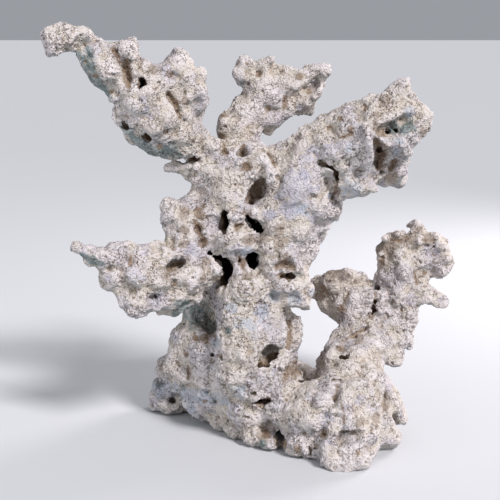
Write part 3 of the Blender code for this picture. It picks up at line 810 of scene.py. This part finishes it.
# Cell size, width as a share of it, depth and rarity of each kind of pit
PITS = ((6.0, 0.26, 2.6, 0.45), (3.4, 0.34, 1.6, 0.45), (2.3, 0.4, 0.7, 0.4))
PIT_SHIFT = Vector((31, 17, 5))
PIT_SEED = 9.1
PORED_MORE = 0.5
SMOOTH_FEWER = 0.4
PIT_ONSET = 4

places = places_of(stone)
calm = with_marks(places, patch_spots["smooth"], fading)
eaten = with_marks(places, patch_spots["pored"], fading)
heights = []
for place, calmness, pored in zip(places, calm, eaten):
    bent = swirled(place, WAVES, WAVE_REACH)
    ruggedness = RUGGED_MIDDLE + RUGGED_VARIETY * noise.noise(bent / RUGGED_SPREAD)
    ruggedness = max(RUGGED_LEAST, ruggedness) * (1 - SMOOTHED * calmness)
    height = noise.fractal(bent / CRUMB, 0.6, 2.1, 4) * CRUMB_RISE * ruggedness
    height += block(bent, FACET) * FACET_RISE * (FACET_LEAST + ruggedness)
    height += block(bent, LEDGE) * LEDGE_RISE * ruggedness
    for size, width, depth, rarity in PITS:
        gaps, middles = noise.voronoi((bent + PIT_SHIFT) / size)
        chance = noise.cell(middles[0] * PIT_SEED) - rarity
        chance += PORED_MORE * pored - SMOOTH_FEWER * calmness
        if chance > 0:
            height -= dome(gaps[0] / width) * depth * min(1.0, chance * PIT_ONSET)
    heights.append(height * MM)
displaced(stone, heights)
for vertex in stone.data.vertices:
    vertex.co.z = max(vertex.co.z, 0)

# The colours
# Bone-pale limestone with lilac-grey tones at random, brown where dirt has settled in the hollows.
# Painted highlight lightens its crests and lumps, and painted light lightens some marked faces.
# Painted shade darkens its creases and undersides, turns the deepest hollows black and lies dun and
# teal on marked faces. The lilac patches are partly the stone's tone and partly painted shade, and
# a painted blue reflection lies on some shaded faces.
CREAM = (0.64, 0.58, 0.515, 1)
# Chalk for the grain, and the colour of painted highlight and painted light
CHALK_AND_HIGHLIGHT = (0.78, 0.725, 0.725, 1)
# Lilac for the stone's own tone, and the colour of painted shade in the lilac patches
LILAC_TONE_AND_SHADE = (0.48, 0.465, 0.54, 1)
# Tan for random patches and for dirt in hollows, and the colour of painted shade in creases
TAN_AND_SHADE = (0.46, 0.355, 0.26, 1)
# Dun for the grain and fine speckle, and the colour of painted shade
DUN_AND_SHADE = (0.33, 0.265, 0.215, 1)
OCHRE = (0.27, 0.185, 0.12, 1)
BROWN = (0.16, 0.09, 0.05, 1)
# Black of the painted shade in the deepest hollows
BLACK_SHADE = (0.02, 0.013, 0.01, 1)
# Teal of the painted shade on undersides and in recesses
SHADE_TEAL = (0.145, 0.215, 0.22, 1)
# Blue-grey of the painted reflection on shaded faces
REFLECTED_BLUE = (0.46, 0.51, 0.585, 1)
STAIN_REACH = 7 * MM
STAIN_EDGE = 0.5
DEEPEST = 20 * MM
# Rounds of evening between the real and the evened skin, and the height in mm that counts as full
# Crest, ridge and lump place painted highlight on what stands proud and painted shade where it
# sinks
STANDS_PROUD = {"crest": (3, 1.2), "ridge": (14, 2.4), "lump": (40, 5.0)}
GRAIN_SIZE = 1.7 * MM
PORE_SIZE = 2.1 * MM


def mark(thing, name, values):
    layer = thing.data.attributes.new(name, "FLOAT", "POINT")
    layer.data.foreach_set("value", np.asarray(values, np.float32))


count = len(stone.data.vertices)
places = np.empty(count * 3)
stone.data.vertices.foreach_get("co", places)
places = places.reshape(-1, 3)
outwards = np.empty(count * 3)
stone.data.vertex_normals.foreach_get("vector", outwards)
outwards = outwards.reshape(-1, 3)
links = np.empty(len(stone.data.edges) * 2, int)
stone.data.edges.foreach_get("vertices", links)
links = links.reshape(-1, 2)
neighbours = np.bincount(links.ravel(), minlength=count)

vectors = places_of(stone)
depths = np.zeros(count)
for number, place in enumerate(vectors):
    near, outward, _, gap = skin.find_nearest(place)
    if (place - near).dot(outward) < 0:
        depths[number] = gap
mark(stone, "hollow", np.clip(depths / DEEPEST, 0, 1))
for kind in patch_spots:
    mark(stone, kind, with_marks(vectors, patch_spots[kind], fading, STAIN_EDGE, STAIN_REACH))
evened = places.copy()
for name, (turns, full) in STANDS_PROUD.items():
    for _ in range(turns):
        total = np.zeros((count, 3))
        for axis in range(3):
            total[:, axis] += np.bincount(links[:, 0], evened[links[:, 1], axis], count)
            total[:, axis] += np.bincount(links[:, 1], evened[links[:, 0], axis], count)
        evened = total / neighbours[:, None]
    proud = ((places - evened) * outwards).sum(1) / MM
    mark(stone, name, np.clip(0.5 + proud / full, 0, 1))

material = bpy.data.materials.new("reef_limestone")
material.use_nodes = True
tree = material.node_tree
surface = tree.nodes["Principled BSDF"]
surface.inputs["Roughness"].default_value = 0.95
surface.inputs["Specular IOR Level"].default_value = 0.15


def node(kind, **settings):
    made = tree.nodes.new(kind)
    for name, value in settings.items():
        setattr(made, name, value)
    return made


def fill(socket, value):
    """Give the socket a number, a colour or another node's outcome."""
    if isinstance(value, (int, float, tuple)):
        socket.default_value = value
    else:
        tree.links.new(value, socket)


def attribute(name):
    return node("ShaderNodeAttribute", attribute_name=name).outputs["Fac"]


def spots(size, detail=3.0, offset=0.0):
    """Cloudy noise whose clouds are about the size across, in metres."""
    cloud = node("ShaderNodeTexNoise")
    cloud.inputs["Scale"].default_value = 1 / size
    cloud.inputs["Detail"].default_value = detail
    shift = node("ShaderNodeVectorMath", operation="ADD")
    shift.inputs[1].default_value = (offset, offset * 0.7, offset * 1.3)
    tree.links.new(coordinates.outputs["Object"], shift.inputs[0])
    tree.links.new(shift.outputs["Vector"], cloud.inputs["Vector"])
    return cloud.outputs["Fac"]


def cells(size):
    """Rounded cells about the size across, in metres."""
    made = node("ShaderNodeTexVoronoi")
    made.inputs["Scale"].default_value = 1 / size
    tree.links.new(coordinates.outputs["Object"], made.inputs["Vector"])
    return made.outputs


def apart(vector):
    """The three numbers that make up a direction or colour."""
    made = node("ShaderNodeSeparateXYZ")
    tree.links.new(vector, made.inputs["Vector"])
    return made.outputs


def between(value, low, high):
    """The value spread from nought at low to one at high."""
    spread = node("ShaderNodeMapRange", interpolation_type="SMOOTHSTEP")
    spread.inputs["From Min"].default_value = low
    spread.inputs["From Max"].default_value = high
    tree.links.new(value, spread.inputs["Value"])
    return spread.outputs["Result"]


def reckoned(operation, *values):
    """One step of reckoning with numbers or other nodes' outcomes."""
    made = node("ShaderNodeMath", operation=operation)
    for socket, value in zip(made.inputs, values):
        fill(socket, value)
    return made.outputs["Value"]


def times(a, b):
    return reckoned("MULTIPLY", a, b)


def blended(share, first, second):
    mix = node("ShaderNodeMix", data_type="RGBA")
    tree.links.new(share, mix.inputs["Factor"])
    fill(mix.inputs[6], first)
    fill(mix.inputs[7], second)
    return mix.outputs[2]


def marked_patches(kind, full, thin, thick):
    """Marked patches, broken up by clouds: brown dirt, lilac tone, painted shade and reflection."""
    return times(between(attribute(kind), 0.0, full), between(patchy, thin, thick))


coordinates = node("ShaderNodeTexCoord")
fine = spots(1.1 * MM, 3, 0.4)
patchy = spots(6 * MM, 5, 2.1)
grains = cells(GRAIN_SIZE)
grain = apart(grains["Color"])["X"]
upward = apart(node("ShaderNodeNewGeometry").outputs["Normal"])["Z"]
uneven = reckoned("SUBTRACT", 1.0, attribute("smooth"))
wavy_line = reckoned("ABSOLUTE", reckoned("SUBTRACT", spots(5 * MM, 4, 3.3), 0.5))
cracks = times(between(wavy_line, 0.024, 0.004), between(spots(12 * MM, 3, 5.2), 0.44, 0.54))
porous = reckoned("MAXIMUM", between(attribute("pored"), 0.0, 0.5),
                  times(between(spots(9 * MM, 3, 0.6), 0.5, 0.64), 0.7))
pored = times(between(cells(PORE_SIZE)["Distance"], 0.33, 0.24), porous)

# Where each colour lies over those before it, and how strongly
LAYERS = (
    # Lilac-grey tone at random, the stone's own
    (between(spots(28 * MM, 4), 0.48, 0.6), 0.6, LILAC_TONE_AND_SHADE),
    # Marked lilac patches: partly the stone's own tone, partly painted shade
    (marked_patches("lilac_and_shade", 0.5, 0.3, 0.55), 1.0, LILAC_TONE_AND_SHADE),
    (times(between(patchy, 0.5, 0.66), uneven), 0.25, TAN_AND_SHADE),
    # Painted highlight: crests and lumps that stand proud are lightened as if light caught them
    (between(attribute("crest"), 0.5, 0.85), 0.6, CHALK_AND_HIGHLIGHT),
    (between(attribute("lump"), 0.5, 0.8), 0.35, CHALK_AND_HIGHLIGHT),
    # Painted light on the marked patches
    (between(attribute("painted_light"), 0.0, 0.6), 0.75, CHALK_AND_HIGHLIGHT),
    # Painted shade: hollows between lumps, creases and gaps between crests are darkened as if
    # shaded
    (between(attribute("lump"), 0.45, 0.1), 0.16, DUN_AND_SHADE),
    (between(attribute("ridge"), 0.4, 0.08), 0.34, TAN_AND_SHADE),
    (between(attribute("crest"), 0.38, 0.08), 0.6, DUN_AND_SHADE),
    # Painted shade on faces that look down, teal like a reflection of blue light
    (between(upward, -0.2, -0.9), 0.4, SHADE_TEAL),
    # Painted reflection: a blue-grey tint on the marked shaded faces
    (marked_patches("blue_reflection", 0.7, 0.2, 0.5), 0.7, REFLECTED_BLUE),
    # Painted shade on the marked patches
    (between(attribute("painted_shade"), 0.0, 0.7), 0.8, DUN_AND_SHADE),
    # Painted shade, teal, on the marked patches
    (marked_patches("teal_shade", 0.7, 0.2, 0.5), 0.8, SHADE_TEAL),
    (marked_patches("brown", 0.8, 0.15, 0.45), 0.85, OCHRE),
    (between(attribute("hollow"), 0.06, 0.2), 0.9, TAN_AND_SHADE),
    (between(attribute("hollow"), 0.15, 0.35), 0.85, BROWN),
    # Painted shade: the deepest hollows are painted black
    (between(attribute("hollow"), 0.32, 0.55), 0.97, BLACK_SHADE),
    (between(grain, 0.62, 0.9), 0.15, CHALK_AND_HIGHLIGHT),
    (times(between(grain, 0.3, 0.0), uneven), 0.14, DUN_AND_SHADE),
    (times(between(fine, 0.43, 0.31), uneven), 0.36, DUN_AND_SHADE),
    (cracks, 0.65, BROWN),
    (pored, 0.7, BROWN),
)
colour = CREAM
for share, strength, paint in LAYERS:
    colour = blended(times(share, strength), colour, paint)
tree.links.new(colour, surface.inputs["Base Color"])

openings = reckoned("ADD", pored, times(cracks, 0.7))
relief = reckoned("SUBTRACT", reckoned("SUBTRACT", fine, openings), times(grains["Distance"], 0.8))
bump = node("ShaderNodeBump")
bump.inputs["Strength"].default_value = 0.9
bump.inputs["Distance"].default_value = 1.4 * MM
tree.links.new(relief, bump.inputs["Height"])
tree.links.new(bump.outputs["Normal"], surface.inputs["Normal"])
stone.data.materials.clear()
stone.data.materials.append(material)

# The forks
# The stone is parted where its limbs leave one another: each face of the skin goes with the solid
# it lies nearest to. The tall trunk is parted once more at its waist.
WAIST = 108 * MM
PARTS = LIMBS + ("lower_trunk",)
EVENING = 8

solids = bmesh.new()
owners = []
for number, limb in enumerate(LIMBS):
    solids.from_mesh(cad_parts[limb].data)
    owners += [number] * (len(solids.faces) - len(owners))
nearest_solid = BVHTree.FromBMesh(solids)
solids.free()

shape = bmesh.new()
shape.from_mesh(stone.data)
shape.faces.ensure_lookup_table()
owner = []
for face in shape.faces:
    middle = face.calc_center_median()
    part = owners[nearest_solid.find_nearest(middle)[2]]
    owner.append(len(LIMBS) if PARTS[part] == "trunk" and middle.z < WAIST else part)


def beside(face):
    """The parts that the faces round this one belong to."""
    return [owner[other.index] for edge in face.edges for other in edge.link_faces
            if other is not face]


def on_border(faces):
    return [face for face in faces if any(part != owner[face.index] for part in beside(face))]


def patches_of(faces):
    """The faces sorted into patches that each belong to one part, the largest first."""
    waiting = set(faces)
    patches = []
    while waiting:
        search = [waiting.pop()]
        patch = []
        while search:
            face = search.pop()
            patch.append(face)
            for edge in face.edges:
                for other in edge.link_faces:
                    if other in waiting and owner[other.index] == owner[face.index]:
                        waiting.remove(other)
                        search.append(other)
        patches.append(patch)
    return sorted(patches, key=len, reverse=True)


# The borders are evened, and islands go over to the part round them
border = on_border(shape.faces)
for _ in range(EVENING):
    for face in border:
        round_it = beside(face)
        commonest = max(set(round_it), key=round_it.count)
        if round_it.count(commonest) > len(round_it) / 2:
            owner[face.index] = commonest
    border = on_border({other for face in border for vertex in face.verts
                        for other in vertex.link_faces})
settled = set()
for patch in patches_of(shape.faces):
    part = owner[patch[0].index]
    if part in settled:
        islands = {face.index for face in patch}
        outside = [owner[other.index] for face in patch for edge in face.edges
                   for other in edge.link_faces if other.index not in islands]
        if outside:
            for face in patch:
                owner[face.index] = max(set(outside), key=outside.count)
    settled.add(part)

part_layer = shape.faces.layers.int.new("part")
for face in shape.faces:
    face[part_layer] = owner[face.index]
seams = [edge for edge in shape.edges if len({owner[face.index] for face in edge.link_faces}) > 1]
bmesh.ops.split_edges(shape, edges=seams)
crumbs = [face for patch in patches_of(shape.faces)[len(PARTS):] for face in patch]
bmesh.ops.delete(shape, geom=crumbs, context="FACES")

# Edges of the skin that span a rim are halved, so that no flat cut shares an edge with them
on_rims = {vertex for edge in shape.edges if edge.is_boundary for vertex in edge.verts}
chords = [edge for edge in shape.edges
          if not edge.is_boundary and on_rims.issuperset(edge.verts)]
bmesh.ops.subdivide_edges(shape, edges=chords, cuts=1)
rims = [edge for edge in shape.edges if edge.is_boundary]
cuts = bmesh.ops.holes_fill(shape, edges=rims)["faces"]
for face in shape.faces:
    face.smooth = True
for face in cuts:
    face[part_layer] = face.edges[0].link_loops[0].face[part_layer]
    face.smooth = False
    for edge in face.edges:
        edge.smooth = False
bmesh.ops.triangulate(shape, faces=cuts)
shape.to_mesh(stone.data)
shape.free()

for thing in bpy.context.selected_objects:
    thing.select_set(False)
stone.select_set(True)
bpy.context.view_layer.objects.active = stone
bpy.ops.mesh.separate(type="LOOSE")
for piece in bpy.context.selected_objects:
    parts = np.empty(len(piece.data.polygons), int)
    piece.data.attributes["part"].data.foreach_get("value", parts)
    limb = PARTS[np.bincount(parts).argmax()]
    piece.name = f"{limb}_stone"
    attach(piece, "root")
    carrier = "trunk" if limb == "lower_trunk" else limb
    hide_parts(carrier)

# The floor
# The rock stands by itself on a plain pale sheet of matte paper, so wide that no edge of it shows
# from any side.
FLOOR_HALF = 40

floor_shape = bmesh.new()
bmesh.ops.create_grid(floor_shape, x_segments=1, y_segments=1, size=FLOOR_HALF)
floor = object_of(floor_shape, "floor")
paper = bpy.data.materials.new("floor")
paper.use_nodes = True
sheet = paper.node_tree.nodes["Principled BSDF"]
sheet.inputs["Base Color"].default_value = (0.62, 0.63, 0.65, 1)
sheet.inputs["Roughness"].default_value = 0.9
floor.data.materials.append(paper)

# The light
# Broad daylight from high on the front right, as soft as thin cloud makes it, with a weaker lamp on
# the left and one behind the rock. Pale light comes from all round.
AIM = Vector((0, 0, 0.15))
DAYLIGHT_WIDTH = math.radians(13)


def lamp(name, kind, place, power, colour):
    light = bpy.data.lights.new(name, kind)
    light.energy = power
    light.color = colour
    thing = bpy.data.objects.new(name, light)
    bpy.context.collection.objects.link(thing)
    thing.location = place
    thing.rotation_euler = (AIM - thing.location).to_track_quat("-Z", "Y").to_euler()
    return light


lamp("key", "SUN", (0.66, -0.8, 1.05), 3.25, (1.0, 0.97, 0.985)).angle = DAYLIGHT_WIDTH
lamp("fill", "AREA", (-1.1, -0.7, 0.4), 3.8, (0.96, 0.96, 1.0)).size = 0.8
lamp("back", "AREA", (0.8, 0.6, 0.5), 7, (1.0, 0.94, 0.96)).size = 0.4
bpy.context.scene.view_settings.view_transform = "Standard"
world = bpy.data.worlds.new("light")
bpy.context.scene.world = world
world.use_nodes = True
air = world.node_tree.nodes["Background"]
air.inputs["Color"].default_value = (0.84, 0.88, 0.95, 1)
air.inputs["Strength"].default_value = 0.38
